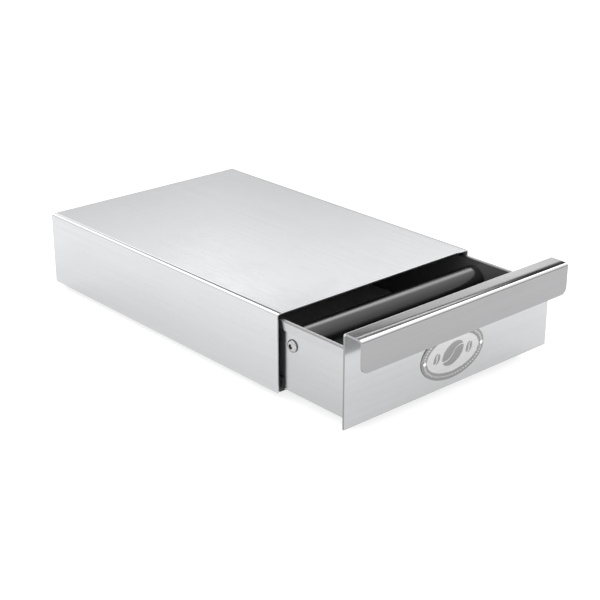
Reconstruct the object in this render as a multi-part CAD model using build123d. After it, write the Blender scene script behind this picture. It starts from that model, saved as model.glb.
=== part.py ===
from build123d import *
import os

# Espresso knock box of the drawer kind, in folded stainless sheet.
# Millimetres, +Z up, the drawer's front towards -Y, drawer partly open as modelled.
# The origin is on the table, below the middle of the whole box and its open drawer.

# Casing: a folded cover over a base plate, closed by a back panel.
casing_width = 195.0
casing_length = 286.0
casing_height = 60.0
casing_sheet = 1.2
casing_bend = 2.4              # outside radius of the two long top edges
casing_flange = 10.0           # folded edges of the base plate and back panel

# Rubber feet, stuck under the base plate.
foot_height = 5.0
foot_radius = 9.0
foot_taper = 1.0
foot_round = 0.8
foot_inset = 21.0

# Low-friction plastic strips that carry and centre the drawer.
glide_thick = 0.8
glide_width = 14.0
glide_clearance = 0.1
guide_height = 14.0
guide_lift = 12.0              # above the base plate's underside
guide_setback = 12.0           # behind the casing's front edge
guide_clearance = 0.3
guide_lead_in = 2.0

# Drawer tray.
drawer_open = 74.0             # casing's front edge to the front face of the drawer front
tray_width = 186.0
tray_length = 276.0
tray_height = 54.2
tray_sheet = 1.0
tray_bend = 2.0
hem_height = 8.0
hem_loop = 0.9                 # middle radius of the fold along the top edge
hem_touch = 0.05               # free edge of the hem to the wall
hem_relief = 0.4               # hem ends kept off the drawer front
closed_gap = 0.5               # drawer front to casing when shut
bumper_radius = 6.0
bumper_round = 1.0
bumper_clearance = 0.1
bumper_lift = 24.0
bumper_spacing = 120.0

# Drawer front, with the handle folded from its top edge.
panel_width = 208.0
panel_height = 70.0
panel_lift = 2.5               # above the casing's underside
panel_sheet = 1.5
panel_bend = 2.4
handle_reach = 15.8            # front face of the drawer front to the outside of the lip
lip_height = 24.2
lip_corner = 5.5

# Knock bar.
bar_behind_front = 63.0
bar_centre_lift = 39.0         # above the casing's underside
bar_radius = 11.75
bar_core_radius = 6.0
bar_end_gap = 0.3              # rubber sleeve to each drawer side
bar_end_round = 0.8
screw_radius = 2.5
screw_slack = 0.05
screw_depth = 14.0
thread_depth = 18.0
screw_head_radius = 4.75
screw_head_height = 2.75
screw_head_edge = 0.5
screw_crown_radius = 2.1       # flat round the socket
screw_dome_radius = 3.4
screw_socket_flats = 3.0
screw_socket_depth = 1.6
screw_hole_radius = 2.75

# Oval badge, held by two small rivets.
badge_width = 64.0
badge_height = 38.0
badge_thick = 0.8
badge_rim = 5.5
badge_recess = 0.3
badge_centre_lift = 27.2       # above the casing's underside
badge_rivet_spacing = 58.0
bean_length = 24.0
bean_width = 16.0
bean_groove = 1.4
bean_tilt = 25.0
rivet_radius = 1.0
rivet_head_radius = 1.6
rivet_head_height = 0.7
rivet_head_round = 0.55

# Places that follow from the sizes above.
overall_length = casing_length + drawer_open + handle_reach
lip_y = -overall_length / 2                          # outside face of the handle lip
panel_y = lip_y + handle_reach                       # front face of the drawer front
casing_y = panel_y + drawer_open                     # casing's front edge
back_y = casing_y + casing_length
casing_z = foot_height
inner_half_width = casing_width / 2 - casing_sheet
floor_z = casing_z + casing_sheet                    # top of the base plate
tray_y = panel_y + panel_sheet                       # tray's front, against the drawer front
tray_back_y = tray_y + tray_length
tray_z = floor_z + glide_thick + glide_clearance
tray_top_z = tray_z + tray_height
tray_inner_width = tray_width - 2 * tray_sheet
closing_travel = drawer_open - panel_sheet - closed_gap
bumper_length = back_y - casing_sheet - tray_back_y - closing_travel - bumper_clearance
bar_y = panel_y + bar_behind_front
bar_z = casing_z + bar_centre_lift
badge_z = casing_z + badge_centre_lift
SIDES = {"left": -1, "right": 1}
SAME_PLACE = 0.1               # how close an edge is to the place it is looked for
STANDING = (Align.CENTER, Align.CENTER, Align.MIN)
STANDING_DOWN = (Align.CENTER, Align.CENTER, Align.MAX)


def block(low, high):
    """A square-edged block between two opposite corners."""
    size = Vector(*high) - Vector(*low)
    corner = (Align.MIN, Align.MIN, Align.MIN)
    return Pos(*low) * Box(size.X, size.Y, size.Z, align=corner)


def folded_sheet(outline, sheet, plane, length):
    """A strip of sheet whose middle line is the outline, as long as it is wide."""
    return extrude(plane * trace(outline, line_width=sheet), amount=length)


def edges_along(solid, axis, keep):
    """The edges parallel to an axis whose middle point passes a test."""
    return [edge for edge in solid.edges().filter_by(axis) if keep(edge.center())]


def casing_shell():
    """Top and both sides, folded from one sheet and open underneath."""
    half = casing_width / 2 - casing_sheet / 2
    top = casing_z + casing_height - casing_sheet / 2
    outline = FilletPolyline(
        (-half, casing_z), (-half, top), (half, top), (half, casing_z),
        radius=casing_bend - casing_sheet / 2,
    )
    return folded_sheet(outline, casing_sheet, Plane.XZ.offset(-back_y), casing_length)


def base_plate():
    """Floor of the casing, with its sides folded up inside the cover."""
    half = inner_half_width - casing_sheet / 2
    low = casing_z + casing_sheet / 2
    outline = FilletPolyline(
        (-half, casing_z + casing_flange), (-half, low), (half, low),
        (half, casing_z + casing_flange),
        radius=casing_bend - casing_sheet / 2,
    )
    length = casing_length - casing_sheet
    plane = Plane.XZ.offset(casing_sheet - back_y)
    return folded_sheet(outline, casing_sheet, plane, length)


def back_panel():
    """Rear wall, with a flange folded forward under the cover's top."""
    low_z = casing_z
    high_z = casing_z + casing_height - casing_sheet
    middle_y = back_y - casing_sheet / 2
    middle_z = high_z - casing_sheet / 2
    outline = FilletPolyline(
        (middle_y, low_z), (middle_y, middle_z), (back_y - casing_flange, middle_z),
        radius=casing_bend - casing_sheet / 2,
    )
    width = 2 * (inner_half_width - casing_bend + casing_sheet)
    panel = folded_sheet(outline, casing_sheet, Plane.YZ.offset(-width / 2), width)
    ears = block((-inner_half_width, back_y - casing_sheet, low_z),
                 (inner_half_width, back_y, high_z - casing_bend))
    return panel + ears


def glide_strip(side):
    """Flat strip on the base plate, under one edge of the drawer."""
    centre = side * (tray_width / 2 - tray_bend - glide_width / 2)
    return block((centre - glide_width / 2, casing_y + guide_setback, floor_z),
                 (centre + glide_width / 2, back_y - guide_setback, floor_z + glide_thick))


def side_guide(side):
    """Upright strip inside one casing wall, beside the drawer."""
    wall = side * inner_half_width
    face = side * (tray_width / 2 + guide_clearance)
    low_z = casing_z + guide_lift
    strip = block((min(wall, face), casing_y + guide_setback, low_z),
                  (max(wall, face), back_y - guide_setback, low_z + guide_height))
    lead_in = edges_along(strip, Axis.Z, lambda c: abs(c.X - face) < SAME_PLACE and c.Y < 0)
    return chamfer(lead_in, length=guide_lead_in)


def rear_bumper(side):
    """Rubber stop on the back panel, which the closed drawer meets."""
    centre = (side * bumper_spacing / 2, back_y - casing_sheet, casing_z + bumper_lift)
    stub = Cylinder(bumper_radius, bumper_length, align=STANDING)
    stub = fillet(stub.faces().sort_by(Axis.Z)[-1].edges(), bumper_round)
    return Pos(*centre) * Rot(90, 0, 0) * stub


def foot(side, end):
    """Rubber foot, a little wider at its stuck face."""
    centre_x = side * (casing_width / 2 - foot_inset)
    centre_y = casing_y + foot_inset if end == "front" else back_y - foot_inset
    pad = Cone(foot_radius - foot_taper, foot_radius, foot_height, align=STANDING)
    pad = fillet(pad.faces().sort_by(Axis.Z)[0].edges(), foot_round)
    return Pos(centre_x, centre_y, 0) * pad


def hem(plane, wall, outward, length):
    """Top edge of a tray wall, folded outwards and back down to touch the wall."""
    loop_z = tray_top_z - hem_loop - tray_sheet / 2
    start = (wall, loop_z - hem_loop)
    fold_in = (wall, loop_z)
    crest = (wall + outward * hem_loop, loop_z + hem_loop)
    fold_out = (wall + outward * 2 * hem_loop, loop_z)
    free_edge = (wall + outward * (tray_sheet + hem_touch), tray_top_z - hem_height)
    outline = Line(start, fold_in)
    outline += ThreePointArc(fold_in, crest, fold_out)
    outline += Line(fold_out, free_edge)
    return folded_sheet(outline, tray_sheet, plane, length)


def rounded_tub(low, high, radius):
    """A block whose upright edges and bottom edges are rounded."""
    tub = block(low, high)
    return fillet([edge for edge in tub.edges() if edge.center().Z < high[2] - SAME_PLACE], radius)


def drawer_tray():
    """Tray folded from one blank, with hemmed side and rear walls."""
    half = tray_width / 2
    wall_top = tray_top_z - hem_loop - tray_sheet / 2
    tray = rounded_tub((-half, tray_y, tray_z), (half, tray_back_y, wall_top), tray_bend)
    tray -= rounded_tub(
        (tray_sheet - half, tray_y + tray_sheet, tray_z + tray_sheet),
        (half - tray_sheet, tray_back_y - tray_sheet, wall_top),
        tray_bend - tray_sheet,
    )
    side_plane = Plane.XZ.offset(tray_bend - tray_back_y)
    side_length = tray_length - tray_bend - hem_relief
    for side in SIDES.values():
        tray += hem(side_plane, side * (half - tray_sheet / 2), side, side_length)
    rear_length = tray_width - 2 * tray_bend
    rear_plane = Plane.YZ.offset(-rear_length / 2)
    tray += hem(rear_plane, tray_back_y - tray_sheet / 2, 1, rear_length)
    screw_holes = Cylinder(screw_hole_radius, 2 * inner_half_width)
    return tray - Pos(0, bar_y, bar_z) * Rot(0, 90, 0) * screw_holes


def front_panel():
    """Drawer front and handle in one sheet, folded forward and down."""
    middle_y = panel_y + panel_sheet / 2
    low_z = casing_z + panel_lift
    top_z = low_z + panel_height - panel_sheet / 2
    lip_middle = lip_y + panel_sheet / 2
    lip_end = low_z + panel_height - lip_height
    outline = FilletPolyline(
        (middle_y, low_z), (middle_y, top_z), (lip_middle, top_z), (lip_middle, lip_end),
        radius=panel_bend - panel_sheet / 2,
    )
    plane = Plane.YZ.offset(-panel_width / 2)
    panel = folded_sheet(outline, panel_sheet, plane, panel_width)
    lip_corners = edges_along(panel, Axis.Y, lambda c: abs(c.Z - lip_end) < SAME_PLACE)
    return fillet(lip_corners, lip_corner)


def knock_bar_core():
    """Steel rod between the drawer sides, tapped at both ends."""
    rod = Cylinder(bar_core_radius, tray_inner_width)
    for end in SIDES.values():
        hole = Cylinder(screw_radius, thread_depth)
        rod -= Pos(0, 0, end * (tray_inner_width - thread_depth) / 2) * hole
    return Pos(0, bar_y, bar_z) * Rot(0, 90, 0) * rod


def knock_bar_sleeve():
    """Thick rubber tube over the rod, which takes the blows."""
    length = tray_inner_width - 2 * bar_end_gap
    tube = Cylinder(bar_radius, length)
    tube = fillet(tube.edges().filter_by(GeomType.CIRCLE), bar_end_round)
    return Pos(0, bar_y, bar_z) * Rot(0, 90, 0) * (tube - Cylinder(bar_core_radius, length))


def bar_screw(side):
    """Domed socket-head screw through one drawer side into the rod."""
    base = (screw_head_radius, 0)
    edge = (screw_head_radius, screw_head_edge)
    crown = (screw_crown_radius, screw_head_height)
    outline = Polyline((0, screw_head_height), (0, 0), base, edge)
    outline += RadiusArc(edge, crown, -screw_dome_radius)
    outline += Line(crown, (0, screw_head_height))
    head = revolve(Plane.XZ * make_face(outline), Axis.Z)
    socket = extrude(RegularPolygon(screw_socket_flats / 2, 6, major_radius=False), screw_head_height)
    shank = Cylinder(screw_radius - screw_slack, tray_sheet + screw_depth, align=STANDING_DOWN)
    screw = head + shank - Pos(0, 0, screw_head_height - screw_socket_depth) * socket
    return Pos(side * tray_width / 2, bar_y, bar_z) * Rot(0, side * 90, 0) * screw


def badge_plate():
    """Plain oval badge with a raised rim and a raised coffee bean, and no lettering."""
    raised = badge_thick - badge_recess
    plate = extrude(Ellipse(badge_width / 2, badge_height / 2), badge_thick)
    field = Ellipse(badge_width / 2 - badge_rim, badge_height / 2 - badge_rim)
    bean = Ellipse(bean_length / 2, bean_width / 2) - Rectangle(bean_length, bean_groove)
    plate -= Pos(0, 0, raised) * extrude(field - Rot(0, 0, bean_tilt) * bean, badge_recess)
    for side in SIDES.values():
        hole = Cylinder(rivet_radius, badge_thick, align=STANDING)
        plate -= Pos(side * badge_rivet_spacing / 2, 0, 0) * hole
    return Pos(0, panel_y, badge_z) * Rot(90, 0, 0) * plate


def badge_rivets():
    """Two small domed rivets through the badge's rim."""
    shank = Cylinder(rivet_radius, badge_thick, align=STANDING)
    head = Cylinder(rivet_head_radius, rivet_head_height, align=STANDING)
    head = fillet(head.faces().sort_by(Axis.Z)[-1].edges(), rivet_head_round)
    rivet = Rot(90, 0, 0) * (shank + Pos(0, 0, badge_thick) * head)
    offset = badge_rivet_spacing / 2
    return Compound(children=[Pos(side * offset, panel_y, badge_z) * rivet for side in SIDES.values()])


def build_nodes():
    """Every piece of the knock box, by name."""
    nodes = {
        "casing_shell": casing_shell(),
        "base_plate": base_plate(),
        "back_panel": back_panel(),
        "drawer_tray": drawer_tray(),
        "front_panel": front_panel(),
        "knock_bar_core": knock_bar_core(),
        "knock_bar_sleeve": knock_bar_sleeve(),
        "badge_plate": badge_plate(),
        "badge_rivets": badge_rivets(),
    }
    for name, side in SIDES.items():
        nodes[f"glide_strip_{name}"] = glide_strip(side)
        nodes[f"side_guide_{name}"] = side_guide(side)
        nodes[f"rear_bumper_{name}"] = rear_bumper(side)
        nodes[f"bar_screw_{name}"] = bar_screw(side)
        for end in ("front", "rear"):
            nodes[f"foot_{end}_{name}"] = foot(side, end)
    return nodes


os.makedirs("parts", exist_ok=True)
for node, shape in build_nodes().items():
    export_step(shape, f"parts/{node}.step")
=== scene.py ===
import math

import bmesh
import bpy
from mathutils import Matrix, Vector


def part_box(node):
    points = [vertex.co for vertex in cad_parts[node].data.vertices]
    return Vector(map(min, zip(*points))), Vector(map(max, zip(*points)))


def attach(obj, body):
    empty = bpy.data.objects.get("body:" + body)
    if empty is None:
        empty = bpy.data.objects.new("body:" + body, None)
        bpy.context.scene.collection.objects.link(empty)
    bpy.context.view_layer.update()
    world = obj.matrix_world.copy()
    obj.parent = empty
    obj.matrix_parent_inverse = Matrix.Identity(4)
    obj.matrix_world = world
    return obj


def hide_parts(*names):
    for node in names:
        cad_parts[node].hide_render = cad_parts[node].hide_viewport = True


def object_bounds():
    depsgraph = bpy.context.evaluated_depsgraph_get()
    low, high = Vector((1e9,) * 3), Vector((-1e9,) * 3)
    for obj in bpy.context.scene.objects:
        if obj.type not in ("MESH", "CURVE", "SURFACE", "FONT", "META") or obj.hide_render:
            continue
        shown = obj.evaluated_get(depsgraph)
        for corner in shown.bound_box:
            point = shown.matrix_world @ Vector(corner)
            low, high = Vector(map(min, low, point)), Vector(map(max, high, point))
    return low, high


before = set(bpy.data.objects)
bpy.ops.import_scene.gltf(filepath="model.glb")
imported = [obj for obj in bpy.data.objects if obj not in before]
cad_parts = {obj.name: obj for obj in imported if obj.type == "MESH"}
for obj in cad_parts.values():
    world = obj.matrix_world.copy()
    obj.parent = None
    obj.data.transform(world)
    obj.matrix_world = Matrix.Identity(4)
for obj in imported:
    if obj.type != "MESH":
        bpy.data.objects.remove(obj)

cad_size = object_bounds()

# Casing cover.
# One stainless sheet, 1.2 mm thick, folded down along its two long edges to make the casing's top and
# sides. It is spot-welded to the base plate and the rear wall, and its cut edges are lightly broken.
MM = 0.001
cover_low, cover_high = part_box("casing_shell")
casing_sheet = 1.2 * MM
casing_bend = 2.4 * MM
break_width = 0.22 * MM
cover_ease = 22 * MM
ease_degrees = 7


def turned(arrow, angle):
    """A flat direction turned anticlockwise."""
    return Vector((arrow.x * math.cos(angle) - arrow.y * math.sin(angle),
                   arrow.x * math.sin(angle) + arrow.y * math.cos(angle)))


def bent_line(corners, radii, steps=10):
    """Straight legs joined by round bends, as points, sideways directions and whether a bend follows."""
    corners = [Vector(corner) for corner in corners]
    first = (corners[1] - corners[0]).normalized()
    last = (corners[-1] - corners[-2]).normalized()
    line = [(corners[0], turned(first, math.pi / 2), False)]
    for before, corner, after, radius in zip(corners, corners[1:], corners[2:], radii):
        arrive = (corner - before).normalized()
        turn = -arrive.angle_signed((after - corner).normalized())
        inward = turned(arrive, math.copysign(math.pi / 2, turn))
        centre = corner - arrive * radius * math.tan(abs(turn) / 2) + inward * radius
        for step in range(steps + 1):
            so_far = turn * step / steps
            line.append((centre - turned(inward, so_far) * radius,
                         turned(turned(arrive, so_far), math.pi / 2), step < steps))
    line.append((corners[-1], turned(last, math.pi / 2), False))
    return line


def mesh_object(name, build, materials):
    """A mesh piece from a bmesh, smooth where it is round, with its materials in order."""
    mesh = bpy.data.meshes.new(name)
    bmesh.ops.recalc_face_normals(build, faces=build.faces)
    build.to_mesh(mesh)
    build.free()
    mesh.shade_smooth()
    piece = bpy.data.objects.new(name, mesh)
    bpy.context.scene.collection.objects.link(piece)
    for material in materials:
        mesh.materials.append(material)
    return piece


def break_edges(piece, width, cut_edge=-1):
    """Rounds every sharp edge of a piece a little, and keeps its flat faces flat in the light."""
    rounding = piece.modifiers.new("broken edges", "BEVEL")
    rounding.width = width
    rounding.segments = 3
    rounding.limit_method = "ANGLE"
    rounding.angle_limit = math.radians(35)
    rounding.material = cut_edge
    flats = piece.modifiers.new("flat faces", "WEIGHTED_NORMAL")
    flats.weight = 100
    flats.keep_sharp = True
    return piece


def folded_strip(build, line, sheet, place, ends, bend=0, inner=0):
    """A strip of sheet whose middle follows the line; ends gives where it starts and stops across."""
    rows = []
    for point, side, bending in line:
        low, high = ends(point)
        out, back = point + side * sheet / 2, point - side * sheet / 2
        rows.append(([build.verts.new(place(at.x, at.y, across))
                      for at, across in ((out, low), (out, high), (back, high), (back, low))], bending))
    for (row, bending), (after, _) in zip(rows, rows[1:]):
        for k in range(4):
            face = build.faces.new((row[k], row[(k + 1) % 4], after[(k + 1) % 4], after[k]))
            face.material_index = inner if k == 2 else bend if k == 0 and bending else 0
    build.faces.new(rows[0][0])
    build.faces.new(list(reversed(rows[-1][0])))


def new_group(name, inputs, outputs):
    """An empty shader node group with named sockets, and its two end nodes."""
    group = bpy.data.node_groups.new(name, "ShaderNodeTree")
    for label, kind, value in inputs:
        socket = group.interface.new_socket(label, in_out="INPUT", socket_type="NodeSocket" + kind)
        if value is not None:
            socket.default_value = value
    for label, kind in outputs:
        group.interface.new_socket(label, in_out="OUTPUT", socket_type="NodeSocket" + kind)
    return group, group.nodes.new("NodeGroupInput"), group.nodes.new("NodeGroupOutput")


def wire(tree, source, target):
    """Joins an output socket to an input socket."""
    tree.links.new(source, target)


def math_node(tree, operation, a, b):
    """Arithmetic on two sockets or numbers."""
    node = tree.nodes.new("ShaderNodeMath")
    node.operation = operation
    for slot, value in enumerate((a, b)):
        if isinstance(value, (int, float)):
            node.inputs[slot].default_value = value
        else:
            wire(tree, value, node.inputs[slot])
    return node.outputs[0]


def spread(tree, value, low, high, to_low, to_high):
    """A value brought from one range to another, and held inside it."""
    node = tree.nodes.new("ShaderNodeMapRange")
    node.clamp = True
    for slot, number in zip(("From Min", "From Max", "To Min", "To Max"), (low, high, to_low, to_high)):
        node.inputs[slot].default_value = number
    wire(tree, value, node.inputs["Value"])
    return node.outputs["Result"]


def noise(tree, vector, scale, detail, roughness=0.5):
    """Noise read at a place."""
    node = tree.nodes.new("ShaderNodeTexNoise")
    node.inputs["Scale"].default_value = scale
    node.inputs["Detail"].default_value = detail
    node.inputs["Roughness"].default_value = roughness
    wire(tree, vector, node.inputs["Vector"])
    return node.outputs["Fac"]


def brushed_grain_group():
    """Grain left by the brushing belt: fine hairlines and broader, longer streaks."""
    group, given, made = new_group(
        "brushed grain",
        [("Place", "Vector", None), ("Stretch", "Vector", (1, 1, 1))],
        [("Hairlines", "Float"), ("Streaks", "Float")],
    )
    scaled = group.nodes.new("ShaderNodeVectorMath")
    scaled.operation = "MULTIPLY"
    wire(group, given.outputs["Place"], scaled.inputs[0])
    wire(group, given.outputs["Stretch"], scaled.inputs[1])
    wire(group, noise(group, scaled.outputs[0], 1.0, 3.0, 0.65), made.inputs["Hairlines"])
    wire(group, noise(group, scaled.outputs[0], 0.16, 2.0), made.inputs["Streaks"])
    return group


def handling_marks_group():
    """Faint smears and cloudy patches that hands and cloths leave on steel."""
    group, given, made = new_group(
        "handling marks", [("Place", "Vector", None), ("Size", "Float", 18.0)], [("Smears", "Float")]
    )
    scaled = group.nodes.new("ShaderNodeVectorMath")
    scaled.operation = "SCALE"
    wire(group, given.outputs["Place"], scaled.inputs[0])
    wire(group, given.outputs["Size"], scaled.inputs["Scale"])
    broad = spread(group, noise(group, scaled.outputs[0], 1.0, 4.0, 0.6), 0.45, 0.75, 0.0, 1.0)
    fine = spread(group, noise(group, scaled.outputs[0], 7.0, 3.0, 0.7), 0.3, 0.7, 0.5, 1.0)
    wire(group, math_node(group, "MULTIPLY", broad, fine), made.inputs["Smears"])
    return group


def sheet_waves_group():
    """The slight unevenness of a large sheet after cutting and folding."""
    group, given, made = new_group("sheet waves", [("Place", "Vector", None)], [("Height", "Float")])
    wire(group, noise(group, given.outputs["Place"], 11.0, 1.0), made.inputs["Height"])
    return group


brushed_grain = brushed_grain_group()
handling_marks = handling_marks_group()
sheet_waves = sheet_waves_group()


def use_group(tree, group, place):
    """A group put into a material, fed with the place on the piece."""
    node = tree.nodes.new("ShaderNodeGroup")
    node.node_tree = group
    wire(tree, place, node.inputs["Place"])
    return node


def blank_material(name):
    """A material with its shader and the place on the piece."""
    material = bpy.data.materials.new(name)
    material.use_nodes = True
    tree = material.node_tree
    shader = tree.nodes["Principled BSDF"]
    place = tree.nodes.new("ShaderNodeTexCoord").outputs["Object"]
    return material, tree, shader, place


def two_tones(tree, amount, light, dark):
    """A colour between two tones."""
    mix = tree.nodes.new("ShaderNodeMix")
    mix.data_type = "RGBA"
    mix.inputs["A"].default_value = (*light, 1)
    mix.inputs["B"].default_value = (*dark, 1)
    wire(tree, amount, mix.inputs["Factor"])
    return mix.outputs["Result"]


def bumped(tree, shader, height, depth, below=None):
    """Relief of a real depth in metres on the shader's normal."""
    node = tree.nodes.new("ShaderNodeBump")
    node.inputs["Distance"].default_value = depth
    wire(tree, height, node.inputs["Height"])
    if below is not None:
        wire(tree, below, node.inputs["Normal"])
    wire(tree, node.outputs["Normal"], shader.inputs["Normal"])
    return node.outputs["Normal"]


def satin_steel(name, tone, roughness, stretch, marks=0.5, waves=14e-6, metallic=1.0):
    """Stainless sheet brushed along the direction in which its grain is stretched."""
    material, tree, shader, place = blank_material(name)
    shader.inputs["Metallic"].default_value = metallic
    grain = use_group(tree, brushed_grain, place)
    grain.inputs["Stretch"].default_value = stretch
    smears = use_group(tree, handling_marks, place).outputs["Smears"]
    smears = math_node(tree, "MULTIPLY", smears, marks)
    streaks = spread(tree, grain.outputs["Streaks"], 0.3, 0.7, 0.0, 1.0)
    shade = math_node(tree, "ADD", math_node(tree, "MULTIPLY", streaks, 0.5),
                      math_node(tree, "MULTIPLY", smears, 0.5))
    darker = tuple(channel * 0.93 for channel in tone)
    wire(tree, two_tones(tree, shade, tone, darker), shader.inputs["Base Color"])
    rough = math_node(tree, "ADD", spread(tree, grain.outputs["Hairlines"], 0.3, 0.7,
                                          roughness - 0.03, roughness + 0.03),
                      math_node(tree, "MULTIPLY", smears, 0.06))
    wire(tree, rough, shader.inputs["Roughness"])
    wavy = bumped(tree, shader, use_group(tree, sheet_waves, place).outputs["Height"], waves)
    bumped(tree, shader, grain.outputs["Hairlines"], 1.2e-6, below=wavy)
    return material


ALONG_Y = (2600, 55, 2600)
ALONG_X = (55, 2600, 2600)
casing_steel = satin_steel("brushed casing steel", (0.53, 0.535, 0.545), 0.13, ALONG_Y)
bend_steel = satin_steel("burnished bend", (0.54, 0.545, 0.55), 0.05, ALONG_Y, waves=0)
cut_steel = satin_steel("broken steel edge", (0.60, 0.60, 0.605), 0.16, ALONG_Y, waves=0)
# Inner faces of the cover and base plate: unbrushed and rougher, and their tone darkened as painted shade.
inner_face_shade_steel = satin_steel("unbrushed inner face darkened as painted shade", (0.30, 0.30, 0.305), 0.45, ALONG_Y, metallic=0.2)


def eased(ease_radius, bend_radius, degrees):
    """Run and drop of the faint curve that a press brake leaves beside a sharp bend."""
    angle = math.radians(degrees)
    run = ease_radius * math.tan(angle / 2) + bend_radius * math.tan((math.pi / 2 - angle) / 2)
    return run, run * math.tan(angle)


cover_half = (cover_high.x - cover_low.x - casing_sheet) / 2
cover_top = cover_high.z - casing_sheet / 2
cover_bend = casing_bend - casing_sheet / 2
run, drop = eased(cover_ease, cover_bend, ease_degrees)
build = bmesh.new()
folded_strip(
    build,
    bent_line([(-cover_half, cover_low.z), (-cover_half, cover_top - drop), (run - cover_half, cover_top),
               (cover_half - run, cover_top), (cover_half, cover_top - drop), (cover_half, cover_low.z)],
              [cover_bend, cover_ease, cover_ease, cover_bend]),
    casing_sheet,
    lambda across, up, along: (across, along, up),
    lambda point: (cover_low.y, cover_high.y),
    bend=3, inner=2,
)
cover = break_edges(
    mesh_object("casing_cover", build, [casing_steel, cut_steel, inner_face_shade_steel, bend_steel]),
    break_width, cut_edge=1,
)
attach(cover, "casing")
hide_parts("casing_shell")

# Base plate and rear wall.
# The same sheet closes the casing below and behind. The base plate's sides are folded up inside the
# cover, and the rear wall's top is folded forward under it, for the spot welds.
back_low, back_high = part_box("back_panel")
back_middle = back_high.y - casing_sheet / 2
back_top = back_high.z - casing_sheet / 2
back_narrow = casing_bend - casing_sheet
slip_gap = 0.05 * MM
plate_setback = 0.8 * MM


def rear_wall_ends(point):
    """Half widths of the rear wall, narrower where it passes the cover's round edges."""
    half = back_high.x - slip_gap
    if point.y >= back_top - casing_bend:
        half -= back_narrow
    return -half, half


build = bmesh.new()
rear_line = bent_line([(back_low.y, back_top), (back_middle, back_top), (back_middle, back_low.z)],
                      [casing_bend - casing_sheet / 2])
wall_side = rear_line[-1][1]
shoulder = back_top - casing_bend
shoulder_half = 0.01 * MM
rear_line[-1:-1] = [(Vector((back_middle, shoulder + shoulder_half)), wall_side, False),
                    (Vector((back_middle, shoulder - shoulder_half)), wall_side, False)]
folded_strip(build, rear_line, casing_sheet, lambda out, up, across: (across, out, up), rear_wall_ends,
             bend=2)
rear_wall = break_edges(
    mesh_object("casing_rear_wall", build, [casing_steel, cut_steel, bend_steel]), break_width, cut_edge=1
)
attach(rear_wall, "casing")
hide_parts("back_panel")

plate_low, plate_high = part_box("base_plate")
plate_half = (plate_high.x - plate_low.x - casing_sheet) / 2 - slip_gap
plate_level = plate_low.z + casing_sheet / 2
build = bmesh.new()
folded_strip(
    build,
    bent_line([(plate_half, plate_high.z), (plate_half, plate_level), (-plate_half, plate_level),
               (-plate_half, plate_high.z)], [casing_bend - casing_sheet / 2] * 2),
    casing_sheet,
    lambda across, up, along: (across, along, up),
    lambda point: (plate_low.y + plate_setback, plate_high.y),
    inner=1,
)
for face in build.faces:
    if face.calc_center_median().y < plate_low.y + 1.2 * plate_setback:
        face.material_index = 2
shaded_edge = satin_steel("shaded cut edge", (0.07, 0.07, 0.07), 0.4, ALONG_X, waves=0)
base = break_edges(
    mesh_object("casing_base", build, [casing_steel, inner_face_shade_steel, shaded_edge]), break_width, cut_edge=2
)
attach(base, "casing")
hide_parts("base_plate")

# Glide strips, side strips and rear stops.
# Black low-friction plastic carries and centres the drawer, and two rubber stops meet its rear wall.
# All of them are stuck on, and lie in the dark inside the casing.


def moulded_black(name, tone, roughness, grain, depth):
    """Black plastic or rubber with a fine moulded grain and a little dulling from handling."""
    material, tree, shader, place = blank_material(name)
    smears = use_group(tree, handling_marks, place).outputs["Smears"]
    paler = tuple(channel * 1.5 for channel in tone)
    wire(tree, two_tones(tree, smears, tone, paler), shader.inputs["Base Color"])
    wire(tree, spread(tree, smears, 0.0, 1.0, roughness, roughness + 0.12), shader.inputs["Roughness"])
    bumped(tree, shader, noise(tree, place, grain, 3.0, 0.6), depth)
    return material


glide_plastic = moulded_black("low-friction plastic", (0.03, 0.03, 0.03), 0.45, 1500, 8e-6)
foot_rubber = moulded_black("foot rubber", (0.022, 0.022, 0.022), 0.62, 1800, 20e-6)
for side in ("left", "right"):
    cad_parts[f"glide_strip_{side}"].material_slots[0].material = glide_plastic
    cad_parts[f"side_guide_{side}"].material_slots[0].material = glide_plastic
    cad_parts[f"rear_bumper_{side}"].material_slots[0].material = foot_rubber

# Feet.
# Four soft rubber discs with a rolled lower rim and a shallow suction hollow, stuck under the base
# plate. Their adhesive faces are a little wider than their soles.
round_steps = 64
hollow_depth = 0.7 * MM
hollow_side = 0.5 * MM
sole_roll = 0.9 * MM
sole_taper = 1.0 * MM
top_round = 0.4 * MM


def turned_piece(build, profile, centre, axis, across, shape=None):
    """A piece turned on a lathe: profile gives radius and distance along the axis."""
    sideways = axis.cross(across)
    rings = []
    for step, (radius, along) in enumerate(profile):
        ring = []
        for k in range(round_steps):
            angle = 2 * math.pi * k / round_steps
            reach = radius if shape is None else shape(step, radius, angle)
            ring.append(build.verts.new(centre + axis * along + across * reach * math.cos(angle)
                                        + sideways * reach * math.sin(angle)))
        rings.append(ring)
    for ring, after in zip(rings, rings[1:]):
        for k in range(round_steps):
            beyond = (k + 1) % round_steps
            build.faces.new((ring[k], ring[beyond], after[beyond], after[k]))
    for ring in (rings[0], rings[-1]):
        build.faces.new(ring)


def arc(centre, radius, start, stop, steps=6):
    """Points on a round corner of a profile, between two angles in degrees."""
    return [(centre[0] + radius * math.cos(math.radians(start + (stop - start) * k / steps)),
             centre[1] + radius * math.sin(math.radians(start + (stop - start) * k / steps)))
            for k in range(steps + 1)]


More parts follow.
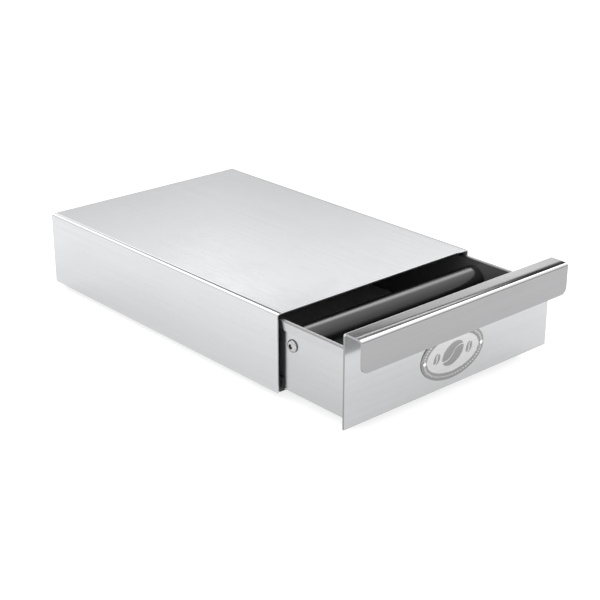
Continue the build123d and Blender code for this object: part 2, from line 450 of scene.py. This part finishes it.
UP, ACROSS, AHEAD = Vector((0, 0, 1)), Vector((1, 0, 0)), Vector((0, 1, 0))
for end in ("front", "rear"):
    for side in ("left", "right"):
        foot_low, foot_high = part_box(f"foot_{end}_{side}")
        foot_centre = (foot_low + foot_high) / 2
        foot_centre.z = foot_low.z
        wide = (foot_high.x - foot_low.x) / 2
        profile = [(0.3 * wide, hollow_depth), (0.55 * wide, hollow_side), (0.72 * wide, 0)]
        profile += arc((wide - sole_taper - sole_roll, sole_roll), sole_roll, -90, -8)
        profile += [(wide - 0.7 * MM, 2.4 * MM), (wide - 0.45 * MM, 3.9 * MM)]
        profile += arc((wide - top_round, foot_high.z - top_round), top_round, -30, 90, 4)
        build = bmesh.new()
        turned_piece(build, profile, foot_centre, UP, ACROSS)
        foot = mesh_object(f"rubber_foot_{end}_{side}", build, [foot_rubber])
        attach(foot, "casing")
        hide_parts(f"foot_{end}_{side}")

# Drawer tray.
# One stainless sheet, 1 mm thick, folded up into a floor and four walls, with welded and dressed corners.
# The top edges of the side and rear walls are hemmed outwards, so that they are stiff and safe to touch.
tray_low, tray_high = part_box("drawer_tray")
tray_sheet = 1.0 * MM
tray_corner = 2.0 * MM
hem_height = 8.0 * MM
hem_loop = 0.9 * MM
hem_bend = 0.96 * hem_loop
hem_overlap = 2 * MM
hem_relief = 0.4 * MM
hem_touch = 0.05 * MM
hem_break = 0.15 * MM
tucked = 0.02 * MM
tray_half = tray_high.x - 2 * hem_loop
tray_rear = tray_high.y - 2 * hem_loop
wall_top = tray_high.z - hem_loop - tray_sheet / 2
drawer_steel = satin_steel("brushed drawer steel", (0.475, 0.48, 0.485), 0.18, ALONG_Y, marks=0.8)
# Inside walls of the drawer: their tone is darkened as painted shade.
drawer_inside_shade_steel = satin_steel("drawer inside darkened as painted shade", (0.20, 0.20, 0.205), 0.18, ALONG_Y, marks=1.0, metallic=0.6)
# Floor inside the drawer: matte, and its tone lightened as painted light on the shaded inside.
drawer_floor_fill_light_steel = satin_steel("matte drawer floor lightened as painted light", (0.42, 0.42, 0.42), 0.5, ALONG_Y, marks=1.0, metallic=0.1)
# Roll of the hems: a little rougher, and its tone darkened as painted shade that dims its highlight.
hem_roll_shade_steel = satin_steel("dull hem roll darkened as painted shade", (0.28, 0.28, 0.285), 0.34, ALONG_Y, waves=0)


def tub_ring(build, inset, height):
    """Points round the tray at one height, pulled in from its outside by the inset."""
    radius = max(tray_corner - inset, 0.2 * MM)
    x, front_y, rear_y = tray_half - inset - radius, tray_low.y + inset + radius, tray_rear - inset - radius
    ring = []
    for quarter, (cx, cy) in enumerate(((x, rear_y), (-x, rear_y), (-x, front_y), (x, front_y))):
        for px, py in arc((cx, cy), radius, 90 * quarter, 90 * quarter + 90):
            ring.append(build.verts.new((px, py, height)))
    return ring


def bend_rings(build, sheet_inset, floor_height, radius, steps=6):
    """Rings down one face of the walls and round the bend into the floor."""
    rings = [tub_ring(build, sheet_inset, wall_top)]
    for k in range(steps + 1):
        angle = 0.5 * math.pi * k / steps
        rings.append(tub_ring(build, sheet_inset + radius * (1 - math.cos(angle)),
                              floor_height + radius * (1 - math.sin(angle))))
    return rings


build = bmesh.new()
outside = bend_rings(build, 0, tray_low.z, tray_corner)
inside = bend_rings(build, tray_sheet, tray_low.z + tray_sheet, tray_corner - tray_sheet)
for rings, material in ((outside, 0), (inside, 1), ((outside[0], inside[0]), 2)):
    for ring, after in zip(rings, rings[1:]):
        for k in range(len(ring)):
            beyond = (k + 1) % len(ring)
            face = build.faces.new((ring[k], ring[beyond], after[beyond], after[k]))
            face.material_index = material
build.faces.new(outside[-1])
build.faces.new(inside[-1]).material_index = 3
tray = mesh_object("drawer_tub", build, [drawer_steel, drawer_inside_shade_steel, cut_steel, drawer_floor_fill_light_steel])
tray.modifiers.new("flat faces", "WEIGHTED_NORMAL").weight = 100
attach(tray, "drawer")
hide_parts("drawer_tray")

hem_build = bmesh.new()
for wall, outward, place, ends in (
    (-tray_half, -1, lambda x, z, y: (x, y, z), (tray_low.y + hem_relief, tray_rear - tray_corner)),
    (tray_half, 1, lambda x, z, y: (x, y, z), (tray_low.y + hem_relief, tray_rear - tray_corner)),
    (tray_rear, 1, lambda y, z, x: (x, y, z), (tray_corner - tray_half, tray_half - tray_corner)),
):
    middle = wall - outward * tray_sheet / 2
    crest = tray_high.z - tray_sheet / 2
    corners = [(middle, wall_top - hem_overlap), (middle, crest), (middle + outward * 2 * hem_loop, crest),
               (middle + outward * (tray_sheet + hem_touch), tray_high.z - hem_height)]
    line = bent_line(corners[::outward], [hem_bend] * 2, steps=8)
    folded_strip(hem_build, line, tray_sheet - tucked, place, lambda point, e=ends: e, bend=2)
hems = break_edges(
    mesh_object("drawer_hems", hem_build, [drawer_steel, cut_steel, hem_roll_shade_steel]), hem_break, cut_edge=1
)
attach(hems, "drawer")
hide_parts("drawer_tray")

# Drawer front.
# One stainless sheet, 1.5 mm thick, wider and taller than the casing's opening. Its top edge is folded
# forward and then down, so that it ends in a full-width handle with rounded lower corners.
front_low, front_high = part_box("front_panel")
front_sheet = 1.5 * MM
front_bend = 2.4 * MM
lip_height = 24.2 * MM
lip_corner = 5.5 * MM
flange_droop = 0.25 * MM
front_steel = satin_steel("brushed drawer front steel", (0.50, 0.505, 0.51), 0.20, ALONG_X)
handle_steel = satin_steel("brushed handle steel", (0.315, 0.315, 0.32), 0.08, ALONG_X, marks=0.8)
# Bend of the handle: burnished, and its tone lightened as painted highlight.
handle_bend_highlight_steel = satin_steel("burnished handle bend lightened as painted highlight", (0.64, 0.64, 0.64), 0.05, ALONG_X, waves=0)
# Inside of the handle's fold: its tone lightened as painted light where shade falls.
handle_inside_light_steel = satin_steel("inside of the handle lightened as painted light", (0.88, 0.88, 0.88), 0.14, ALONG_X, waves=0)
edge_steel = satin_steel("sheared edge", (0.27, 0.27, 0.275), 0.25, ALONG_X, waves=0)

front_middle = front_high.y - front_sheet / 2
lip_middle = front_low.y + front_sheet / 2
handle_top = front_high.z - front_sheet / 2
lip_end = front_high.z - lip_height
bend_middle = front_bend - front_sheet / 2
front_ease = 48 * MM
ease_run, ease_drop = eased(front_ease, bend_middle, ease_degrees)
front_line = bent_line(
    [(lip_middle, lip_end), (lip_middle, handle_top - flange_droop - ease_drop),
     (lip_middle + ease_run, handle_top - flange_droop), (front_middle, handle_top),
     (front_middle, front_low.z)],
    [bend_middle, front_ease, bend_middle],
)
round_rows = 10
lip_side = front_line[0][1]
front_line[:1] = [
    (Vector((lip_middle, lip_end + lip_corner * (1 - math.sin(0.5 * math.pi * k / round_rows)))),
     lip_side, False)
    for k in range(round_rows, -1, -1)
]


def front_ends(point):
    """Half widths of the drawer front, drawn in where the lip's corners are rounded."""
    half = front_high.x
    short = lip_end + lip_corner - point.y
    if point.x < (front_middle + lip_middle) / 2 and short > 0:
        half -= lip_corner - math.sqrt(max(lip_corner ** 2 - short ** 2, 0))
    return -half, half


build = bmesh.new()
folded_strip(build, front_line, front_sheet, lambda out, up, across: (across, out, up), front_ends,
             bend=3, inner=4)
bmesh.ops.recalc_face_normals(build, faces=build.faces)
# Bend faces close to the flange or the lip keep the handle's tone; the rest of the bend gets the painted
# highlight tone.
painted_highlight_start, painted_highlight_end = 0.985, 0.8
for face in build.faces:
    middle = face.calc_center_median()
    on_panel = middle.y > front_middle - front_sheet
    if face.material_index == 3 and (face.normal.z > painted_highlight_start or face.normal.y < -painted_highlight_end):
        face.material_index = 1
    elif face.material_index == 0 and not on_panel:
        face.material_index = 1
    elif face.material_index == 4 and on_panel:
        face.material_index = 0
    if abs(face.normal.x) > 0.9 and on_panel and middle.z < handle_top - front_bend:
        face.material_index = 2
front = break_edges(
    mesh_object("drawer_front", build, [front_steel, handle_steel, edge_steel, handle_bend_highlight_steel, handle_inside_light_steel]),
    break_width, cut_edge=2,
)
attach(front, "drawer")
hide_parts("front_panel")

# Knock bar.
# A steel rod with tapped ends, inside a thick black rubber tube that takes the blows of the portafilter.
# The tube is extruded, so fine lines run along it, and its cut ends are slightly rounded.
sleeve_low, sleeve_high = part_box("knock_bar_sleeve")
sleeve_centre = (sleeve_low + sleeve_high) / 2
sleeve_radius = (sleeve_high.z - sleeve_low.z) / 2
sleeve_half = (sleeve_high.x - sleeve_low.x) / 2
sleeve_round = 0.8 * MM
bore = 6.0 * MM

bar_rubber, tree, shader, place = blank_material("knock bar rubber")
grain = use_group(tree, brushed_grain, place)
grain.inputs["Stretch"].default_value = (40, 900, 900)
smears = use_group(tree, handling_marks, place).outputs["Smears"]
wire(tree, two_tones(tree, smears, (0.004, 0.004, 0.0045), (0.009, 0.009, 0.0085)),
     shader.inputs["Base Color"])
wire(tree, math_node(tree, "ADD", spread(tree, grain.outputs["Hairlines"], 0.3, 0.7, 0.14, 0.18),
                     math_node(tree, "MULTIPLY", smears, 0.08)), shader.inputs["Roughness"])
shader.inputs["IOR"].default_value = 1.58
bumped(tree, shader, grain.outputs["Hairlines"], 6e-6)

rounded_end = arc((sleeve_radius - sleeve_round, sleeve_half - sleeve_round), sleeve_round, 0, 90)
profile = [(bore, sleeve_half)] + rounded_end[::-1]
lengths = 24
profile += [(sleeve_radius, (sleeve_half - sleeve_round) * (1 - 2 * k / lengths))
            for k in range(1, lengths)]
profile += [(radius, -along) for radius, along in rounded_end] + [(bore, -sleeve_half)]
build = bmesh.new()
turned_piece(build, profile, sleeve_centre, ACROSS, AHEAD)
sleeve = mesh_object("knock_bar_tube", build, [bar_rubber])
sleeve.modifiers.new("flat faces", "WEIGHTED_NORMAL").weight = 60
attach(sleeve, "drawer")
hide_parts("knock_bar_sleeve")
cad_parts["knock_bar_core"].material_slots[0].material = cut_steel

# Knock bar screws.
# Stainless M5 button-head screws with a hexagon socket, one through each side of the drawer into the rod.
# Their domes are polished; the inside of the socket and the foot of the head are darkened as painted shade.
UNBRUSHED = (900, 900, 900)
polished_steel = satin_steel("polished screw steel", (0.44, 0.44, 0.44), 0.06, UNBRUSHED, waves=0)
# The tones for the socket and for the foot of the head are painted shade.
socket_shade_steel = satin_steel("socket darkened as painted shade", (0.10, 0.10, 0.10), 0.3, UNBRUSHED, waves=0)
screw_rim_shade_steel = satin_steel("screw rim darkened as painted shade", (0.20, 0.20, 0.20), 0.3, UNBRUSHED, waves=0)
head_radius, head_height, head_edge = 4.75 * MM, 2.3 * MM, 0.5 * MM
crown, socket, socket_depth = 2.3 * MM, 1.7 * MM, 1.4 * MM
dome_rows = 12


def hexagon(radius, angle):
    """Distance from the middle of a hexagon to its side, radius being half its width over the flats."""
    wedge = (angle + math.pi / 6) % (math.pi / 3) - math.pi / 6
    return radius / math.cos(wedge)


for side, outward in (("left", -1), ("right", 1)):
    screw_low, screw_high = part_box(f"bar_screw_{side}")
    middle = (screw_low + screw_high) / 2
    seat = Vector((outward * tray_half, middle.y, middle.z))
    dome = []
    for k in range(dome_rows + 1):
        part = k / dome_rows
        radius = head_radius + (crown - head_radius) * part
        dome.append((radius, head_edge + (head_height - head_edge) * math.sin(0.5 * math.pi * part ** 0.8)))
    profile = [(head_radius - 0.1 * MM, 0), (head_radius, 0.12 * MM)] + dome
    smooth_rings = len(profile)
    profile += [(socket + 0.25 * MM, head_height), (socket, head_height - 0.2 * MM),
                (socket, head_height - socket_depth + 0.1 * MM), (socket * 0.9, head_height - socket_depth)]
    build = bmesh.new()
    turned_piece(
        build, profile, seat, Vector((outward, 0, 0)), UP,
        shape=lambda step, radius, angle: radius if step <= smooth_rings else hexagon(radius, angle),
    )
    for face in build.faces:
        offset = face.calc_center_median() - seat
        reach, height = offset.yz.length, offset.x * outward
        if height < head_height - 0.1 * MM and 0.3 * MM < reach < crown * 0.85:
            face.material_index = 1
        elif height < head_edge + 0.45 * MM and reach > crown:
            face.material_index = 2
    screw = mesh_object(f"domed_screw_{side}", build, [polished_steel, socket_shade_steel, screw_rim_shade_steel])
    screw.data.set_sharp_from_angle(angle=math.radians(40))
    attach(screw, "drawer")
    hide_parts(f"bar_screw_{side}")

# Badge.
# A small embossed oval of thin metal with a beaded rim, which bears three coffee beans and no lettering.
# Two domed rivets hold it to the drawer front.
badge_low, badge_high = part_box("badge_plate")
badge_centre = (badge_low + badge_high) / 2
badge_centre.y = badge_high.y
half_wide = (badge_high.x - badge_low.x) / 2
half_tall = (badge_high.z - badge_low.z) / 2
badge_thick = badge_high.y - badge_low.y
rim_width = 5.5 * MM
bead_line = rim_width / 2
field_depth = 0.3 * MM
beads = 60
large_bean, small_bean, bean_spacing, bean_relief = 23.0, 9.0, 16.5, 0.42


def rise(value, low, high):
    """Smooth step from nothing to one."""
    part = min(max((value - low) / (high - low), 0.0), 1.0)
    return part * part * (3 - 2 * part)


def bean(x, z, centre, length, lean):
    """Height of one embossed coffee bean at a place on the badge, in millimetres."""
    dx, dz = x - centre[0], z - centre[1]
    along = dx * math.cos(lean) + dz * math.sin(lean)
    aside = dz * math.cos(lean) - dx * math.sin(lean)
    width = length * 0.68
    inside = 1 - (2 * along / length) ** 2 - (2 * aside / width) ** 2
    if inside <= 0:
        return 0.0
    seam = abs(aside - 0.07 * length * math.sin(2.2 * math.pi * along / length))
    return bean_relief * math.sqrt(inside) * rise(seam, 0.35, 0.8)


def motif(x, z):
    """Height of the three coffee beans, in millimetres."""
    outer_beans = max(bean(x, z, (aside, 0), small_bean, 1.1) for aside in (-bean_spacing, bean_spacing))
    return max(bean(x, z, (0, 0), large_bean, 0.44), outer_beans)


def badge_height(x, z, inner):
    """Height of the badge's face above its field, in millimetres; inner runs from middle to edge."""
    rim = rise(inner, 0.0, 0.35)
    angle = math.atan2(z / half_tall, x / half_wide)
    bead = (0.5 + 0.5 * math.cos(beads * angle)) * math.exp(-((inner - bead_line / MM) / 0.9) ** 2)
    edge = 1 - rise(inner, 5.0, 5.5)
    groove = rise(abs(inner - 1.0), 0.0, 0.3) * rise(abs(inner - 4.5), 0.0, 0.3)
    face = 0.22 * rim * (0.75 + 0.25 * groove) + 0.16 * bead
    return max(face, motif(x, z) * (1 - rim)) * edge


badge_build = bmesh.new()
spokes, rings = 480, 60
badge_rings = []
for ring in range(1, rings + 1):
    part = ring / rings
    row = []
    for spoke in range(spokes):
        angle = 2 * math.pi * spoke / spokes
        x, z = half_wide * part * math.cos(angle), half_tall * part * math.sin(angle)
        slope = math.hypot(math.cos(angle) * half_tall, math.sin(angle) * half_wide)
        inner = rim_width / MM - (1 - part) * half_wide * half_tall / slope / MM
        lift = badge_height(x / MM, z / MM, inner) * MM
        y = badge_centre.y - min(badge_thick - field_depth + lift, badge_thick)
        row.append(badge_build.verts.new((badge_centre.x + x, y, badge_centre.z + z)))
    badge_rings.append(row)
hub = badge_build.verts.new((badge_centre.x, badge_centre.y - badge_thick + field_depth
                             - badge_height(0, 0, -9) * MM, badge_centre.z))
back_row = [badge_build.verts.new((corner.co.x, badge_centre.y, corner.co.z))
            for corner in badge_rings[-1]]
for k in range(spokes):
    after = (k + 1) % spokes
    badge_build.faces.new((hub, badge_rings[0][k], badge_rings[0][after]))
    for row, outer in zip(badge_rings, badge_rings[1:] + [back_row]):
        badge_build.faces.new((row[k], outer[k], outer[after], row[after]))
badge_build.faces.new(back_row)
for face in badge_build.faces:
    offset = face.calc_center_median() - badge_centre
    reach = math.hypot(offset.x / (half_wide - rim_width), offset.z / (half_tall - rim_width))
    raised = motif(offset.x / MM, offset.z / MM) > 0.03
    outer = math.hypot(offset.x / (half_wide - bead_line), offset.z / (half_tall - bead_line))
    around = math.atan2(offset.z / half_tall, offset.x / half_wide)
    bead = abs(outer - 1) < 0.03 and math.cos(beads * around) > 0
    face.material_index = 1 if (reach > 1.0 or raised) and not bead else 0
badge_field = satin_steel("badge field", (0.56, 0.56, 0.565), 0.22, ALONG_X, marks=0.3, waves=0)
badge_relief = satin_steel("badge relief", (0.27, 0.27, 0.27), 0.28, ALONG_X, marks=0.6, waves=0)
badge = mesh_object("oval_badge", badge_build, [badge_field, badge_relief])
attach(badge, "drawer")
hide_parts("badge_plate")

rivet_low, rivet_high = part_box("badge_rivets")
rivet_radius = (rivet_high.z - rivet_low.z) / 2
rivet_rows = 9
rivet_build = bmesh.new()
for x in (rivet_low.x + rivet_radius, rivet_high.x - rivet_radius):
    seat = Vector((x, badge_low.y, (rivet_low.z + rivet_high.z) / 2))
    head = badge_low.y - rivet_low.y
    profile = [(rivet_radius * math.cos(0.5 * math.pi * k / rivet_rows),
                head * math.sin(0.5 * math.pi * k / rivet_rows)) for k in range(rivet_rows)]
    turned_piece(rivet_build, [(rivet_radius * 0.6, -0.4 * MM), (rivet_radius, -0.1 * MM)] + profile, seat,
                 -AHEAD, UP)
# Rivet heads: their tone lightened as painted glint; their rims next to the badge get the socket's painted
# shade.
rivet_glint_steel = satin_steel("rivet head lightened as painted glint", (0.86, 0.86, 0.86), 0.08, UNBRUSHED, waves=0)
for face in rivet_build.faces:
    if badge_low.y - face.calc_center_median().y < 0.2 * head:
        face.material_index = 1
rivets = mesh_object("badge_rivet_pair", rivet_build, [rivet_glint_steel, socket_shade_steel])
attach(rivets, "drawer")
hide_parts("badge_rivets")

# Floor, light and camera.
# A pale floor that glows a little, under a soft studio sky; its glow is weaker close to the box as painted
# shade. The sky is built of
# layers, as large softboxes make: dim near the ground, then mostly a dark gap below a bright band, and
# soft overhead. The camera looks down on the front left corner.
floor_radius = 9.0
glow_near, glow_far = 0.64, 0.74
glow_from, glow_to = 0.03, 0.10
top_level = 5.0
white_level = 0.95
floor_build = bmesh.new()
bmesh.ops.create_circle(floor_build, cap_ends=True, segments=96, radius=floor_radius)
floor_material, floor_tree, floor_shader, floor_place = blank_material("pale studio floor")
floor_shader.inputs["Roughness"].default_value = 0.9
floor_shader.inputs["Specular IOR Level"].default_value = 0.1
wire(floor_tree, two_tones(floor_tree, noise(floor_tree, floor_place, 30.0, 3.0), (0.53, 0.53, 0.53),
                           (0.525, 0.525, 0.525)), floor_shader.inputs["Base Color"])
floor_shader.inputs["Emission Color"].default_value = (1, 1, 1, 1)
floor_part = floor_tree.nodes.new("ShaderNodeSeparateXYZ")
wire(floor_tree, floor_place, floor_part.inputs[0])
beside = []
for axis, half in (("X", cad_size[1].x), ("Y", cad_size[1].y)):
    from_middle = math_node(floor_tree, "ABSOLUTE", floor_part.outputs[axis], 0)
    beside.append(math_node(floor_tree, "SUBTRACT", from_middle, half))
# The weaker glow close to the box is painted shade.
glow = spread(floor_tree, math_node(floor_tree, "MAXIMUM", *beside), glow_from, glow_to, glow_near, glow_far)
wire(floor_tree, glow, floor_shader.inputs["Emission Strength"])
floor = mesh_object("studio_floor", floor_build, [floor_material])

world = bpy.data.worlds.new("studio sky")
world.use_nodes = True
bpy.context.scene.world = world
sky = world.node_tree
background = sky.nodes["Background"]
direction = sky.nodes.new("ShaderNodeTexCoord").outputs["Generated"]
part = sky.nodes.new("ShaderNodeSeparateXYZ")
wire(sky, direction, part.inputs[0])
bearing = math_node(sky, "ARCTAN2", part.outputs["X"], part.outputs["Y"])


def sky_ramp(value, stops):
    """A tone that changes with a value from 0 to 1."""
    ramp = sky.nodes.new("ShaderNodeValToRGB")
    wire(sky, value, ramp.inputs["Fac"])
    while len(ramp.color_ramp.elements) < len(stops):
        ramp.color_ramp.elements.new(0.5)
    for stop, (position, level) in zip(ramp.color_ramp.elements, stops):
        stop.position = position
        stop.color = (level, level, level, 1)
    return ramp.outputs["Color"]


def sky_bands(bands):
    """Brightness of the sky by its height in degrees."""
    return sky_ramp(part.outputs["Z"], [(math.sin(math.radians(degrees)), level / top_level)
                                        for degrees, level in bands])


def sky_mix(start, stop, before, after):
    """One sky turning into another between two bearings in degrees."""
    mix = sky.nodes.new("ShaderNodeMix")
    mix.data_type = "RGBA"
    turned_so_far = spread(sky, bearing, math.radians(start), math.radians(stop), 0.0, 1.0)
    wire(sky, turned_so_far, mix.inputs["Factor"])
    wire(sky, before, mix.inputs["A"])
    wire(sky, after, mix.inputs["B"])
    return mix.outputs["Result"]


def layered_sky(between):
    """Sky with the same ground layers and the same top everywhere, and its own middle layers."""
    above = [(46, 5.0), (48, 0.95), (60, 0.8), (90, 0.9)]
    ground = [(0, 1.4), (10, 1.3), (14.5, 0.76), (16, 0.74), (19.5, 1.25)]
    return sky_bands(ground + between + above)


back_left_sky = layered_sky([(23, 1.8), (24, 1.5), (25.2, 1.2), (32, 1.2), (34.5, 4.5)])
front_left_sky = layered_sky([(23, 1.9), (24, 1.6), (25.2, 0.42), (32, 0.42), (34.5, 4.5)])
middle_sky = layered_sky([(22.7, 1.85), (23.4, 1.2), (25.1, 1.2), (25.5, 0.05), (27.3, 0.05), (27.7, 2.2),
                          (29.3, 2.2), (29.8, 0.3), (33, 0.3), (34.5, 4.5)])
right_sky = layered_sky([(21.6, 1.4), (22.6, 1.1), (23.4, 0.8), (25.2, 0.08), (31.8, 0.08), (33.3, 3.2)])
far_right_sky = sky_bands([(0, 0.9), (30, 1.0), (45, 1.5), (55, 1.7), (90, 1.1)])
far_left_sky = sky_bands([(0, 1.6), (12, 1.5), (22, 1.2), (35, 1.5), (60, 1.6), (90, 1.2)])
whole_sky = sky_mix(24, 34, back_left_sky, front_left_sky)
whole_sky = sky_mix(38, 42, whole_sky, middle_sky)
whole_sky = sky_mix(52, 56, whole_sky, right_sky)
whole_sky = sky_mix(65, 85, whole_sky, far_right_sky)
whole_sky = sky_mix(-20, 10, far_left_sky, whole_sky)
ahead_left = spread(sky, bearing, math.radians(28), math.radians(55), 0.0, 1.0)
patches = sky_ramp(ahead_left, [(0.0, 0.87), (0.14, 0.88), (0.26, 0.93), (0.37, 0.98), (0.5, 0.915),
                                (0.6, 0.915), (0.8, 0.97)])
patchy_sky = sky.nodes.new("ShaderNodeMix")
patchy_sky.data_type = "RGBA"
patchy_sky.blend_type = "MULTIPLY"
patchy_sky.inputs["Factor"].default_value = 1.0
wire(sky, whole_sky, patchy_sky.inputs["A"])
wire(sky, patches, patchy_sky.inputs["B"])
wire(sky, patchy_sky.outputs["Result"], background.inputs["Color"])
background.inputs["Strength"].default_value = top_level / white_level

azimuth, elevation = math.radians(-41.707), math.radians(22.475)
backward = Vector((math.sin(azimuth) * math.cos(elevation), -math.cos(azimuth) * math.cos(elevation),
                   math.sin(elevation)))
lens = bpy.data.cameras.new("camera")
lens.lens = 81.3
lens.sensor_width = 36.0
lens.clip_end = 50.0
camera = bpy.data.objects.new("camera", lens)
camera.location = (-0.6518, -0.7435, 0.4278)
camera.rotation_euler = backward.to_track_quat("Z", "Y").to_euler()
bpy.context.scene.collection.objects.link(camera)
bpy.context.scene.camera = camera
bpy.context.scene.view_settings.view_transform = "Standard"
